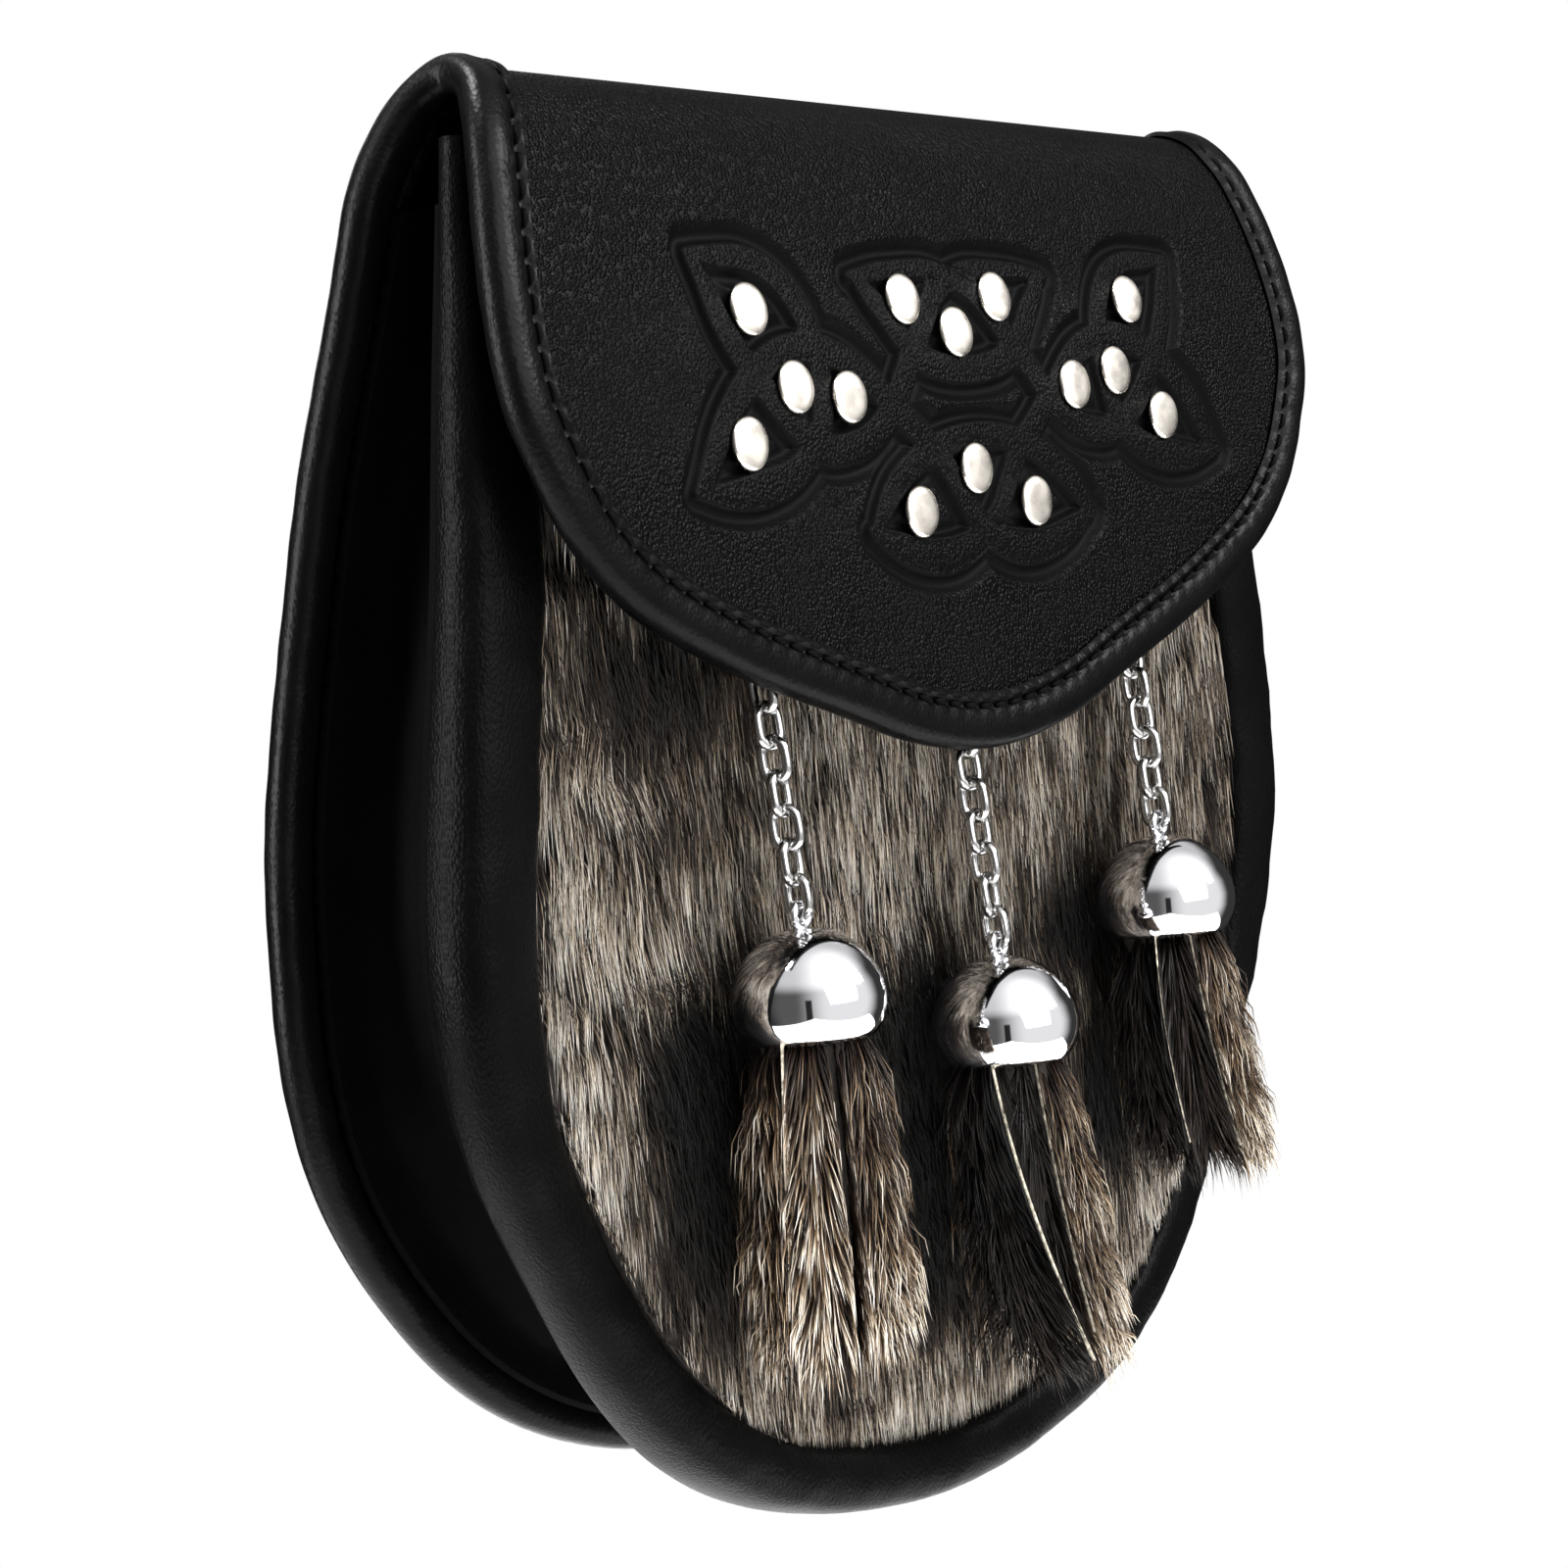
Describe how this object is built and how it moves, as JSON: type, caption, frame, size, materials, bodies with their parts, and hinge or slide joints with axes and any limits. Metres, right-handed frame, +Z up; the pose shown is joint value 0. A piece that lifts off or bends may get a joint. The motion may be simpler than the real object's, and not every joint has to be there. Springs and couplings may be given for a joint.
{
  "type": "sporran pouch",
  "caption": "Black leather pouch worn in front on a strap, with a rounded flap, domed studs, a fur front in a padded rim and hanging fur tassels with bell caps.",
  "frame": {"origin": "middle of the tunnel of the belt loop on the back, where the strap holds the pouch", "axes": "+X to the viewer's right of the front, +Y out of the back towards the wearer, +Z up"},
  "size_m": [0.2328, 0.0673, 0.2374],
  "materials": {
    "grained_leather": "black leather with a fine pebbled grain, half matte",
    "smooth_leather": "smooth black leather, soft sheen",
    "fur": "grey and brown hair on its hide, hair lies down",
    "tassel_fur": "brown hair with pale tips on strips of hide",
    "chrome": "mirror polished",
    "nickel": "polished nickel, slightly warm"
  },
  "bodies": {
    "root": {"back_flap_panel": "grained_leather", "edge_binding": "smooth_leather", "gusset": "smooth_leather", "front_panel": "grained_leather", "front_frame": "smooth_leather", "fur_panel": "fur", "press_stud": "nickel", "belt_loop": "smooth_leather", "staple_left": "chrome", "chain_left": "chrome", "bell_left": "chrome", "tassel_left": "tassel_fur", "staple_middle": "chrome", "chain_middle": "chrome", "bell_middle": "chrome", "tassel_middle": "tassel_fur", "staple_right": "chrome", "chain_right": "chrome", "bell_right": "chrome", "tassel_right": "tassel_fur", "stud_01": "nickel", "stud_02": "nickel", "stud_03": "nickel", "stud_04": "nickel", "stud_05": "nickel", "stud_06": "nickel", "stud_07": "nickel", "stud_08": "nickel", "stud_09": "nickel", "stud_10": "nickel", "stud_11": "nickel", "stud_12": "nickel", "stud_13": "nickel", "stud_14": "nickel"}
  },
  "joints": []
}
